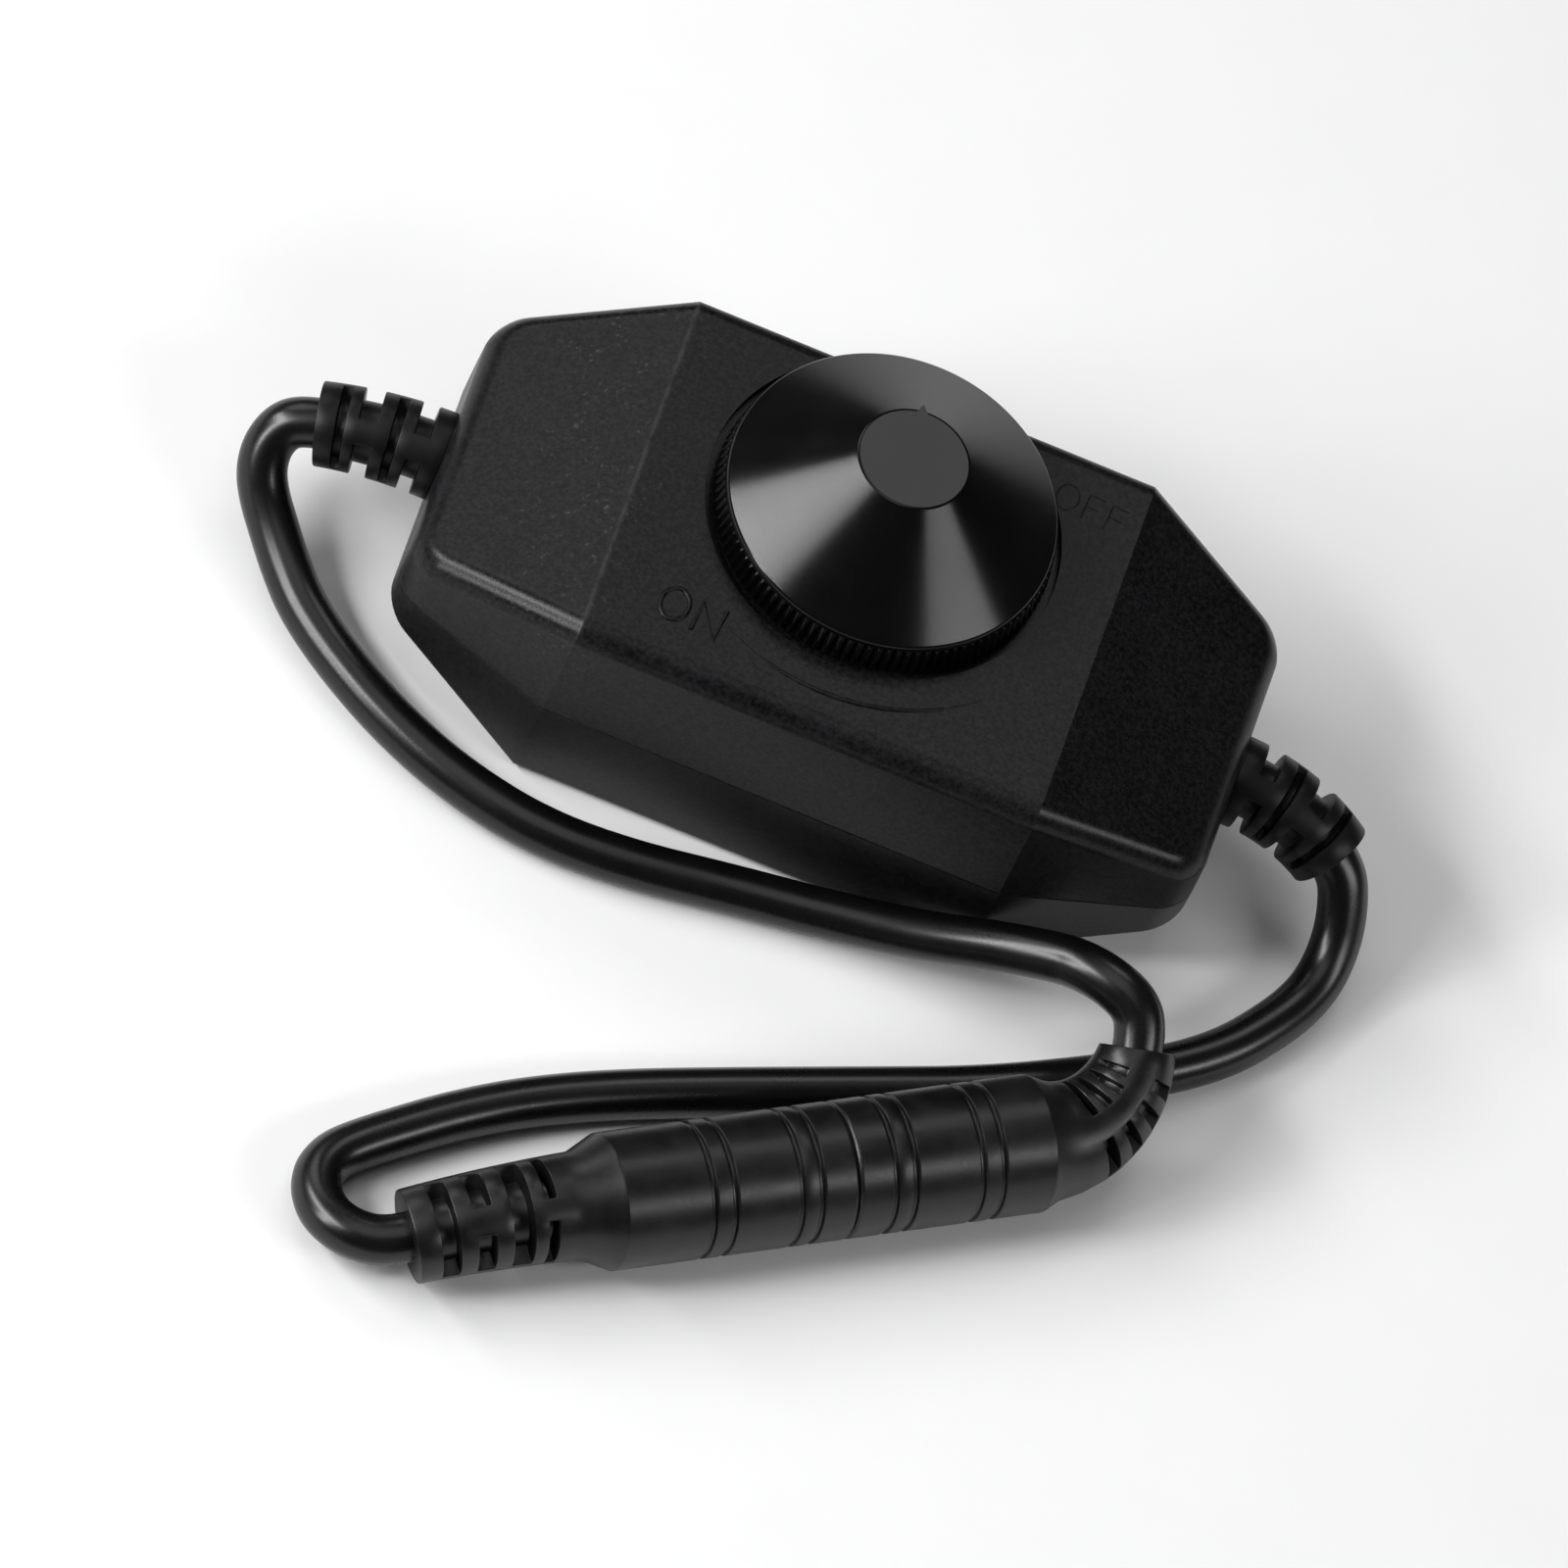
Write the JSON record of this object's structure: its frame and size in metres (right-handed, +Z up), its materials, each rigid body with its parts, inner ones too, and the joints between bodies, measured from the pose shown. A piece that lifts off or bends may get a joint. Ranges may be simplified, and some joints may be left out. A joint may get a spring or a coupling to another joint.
{
  "type": "in-line rotary led dimmer",
  "caption": "Black faceted in-line dimmer box with a conical dial on top and slotted cord boots at its ends; its leads end in a mated barrel plug and jack.",
  "frame": {"origin": "middle of the case's flat bottom, on the surface it rests on", "axes": "+X along the case towards the lead with the jack, +Y to the rear away from the coupling, +Z up along the dial's axis"},
  "size_m": [0.0958, 0.0836, 0.0313],
  "materials": {
    "case_plastic": "fine sand texture",
    "knob_plastic": "satin",
    "boot_rubber": "satin",
    "lead_vinyl": "half gloss",
    "grip_vinyl": "half gloss",
    "screw_steel": "plated",
    "can_steel": "plated",
    "bushing_brass": "nickel plated",
    "shaft_aluminium": "turned",
    "rotor_plastic": "moulded",
    "wafer_laminate": "pressed",
    "board_laminate": "lacquered",
    "chip_epoxy": "moulded",
    "capacitor_can": "drawn",
    "core_insulation": "half gloss",
    "contact_metal": "nickel plated",
    "insulator_plastic": "moulded"
  },
  "bodies": {
    "case": {"upper_case": "case_plastic", "lower_case": "case_plastic", "case_screws": "screw_steel", "pot_bushing": "bushing_brass", "pot_can": "can_steel", "pot_wafer": "wafer_laminate", "pot_terminals": "contact_metal", "pot_washer": "can_steel", "pot_nut": "can_steel", "circuit_board": "board_laminate", "power_transistor": "chip_epoxy", "timer_chip": "chip_epoxy", "filter_capacitor": "capacitor_can", "resistors": "chip_epoxy", "diodes": "chip_epoxy", "left_boot": "boot_rubber", "right_boot": "boot_rubber", "left_inner_leads": "core_insulation", "right_inner_leads": "core_insulation", "left_cord": "lead_vinyl", "right_cord": "lead_vinyl", "jack_grip": "grip_vinyl", "jack_sleeve": "contact_metal", "jack_insert": "insulator_plastic", "jack_pin": "contact_metal", "plug_grip": "grip_vinyl", "plug_barrel": "contact_metal", "plug_insulator": "insulator_plastic", "plug_tip_contact": "contact_metal"},
    "dial": {"knob": "knob_plastic", "pot_shaft": "shaft_aluminium", "pot_wiper": "rotor_plastic"}
  },
  "joints": [
    {"name": "knob_turn", "type": "hinge", "parent": "case", "child": "dial", "pos_m": [0, 0.0037, 0], "axis": [0, 0, 1], "range_deg": [-140, 140]}
  ]
}
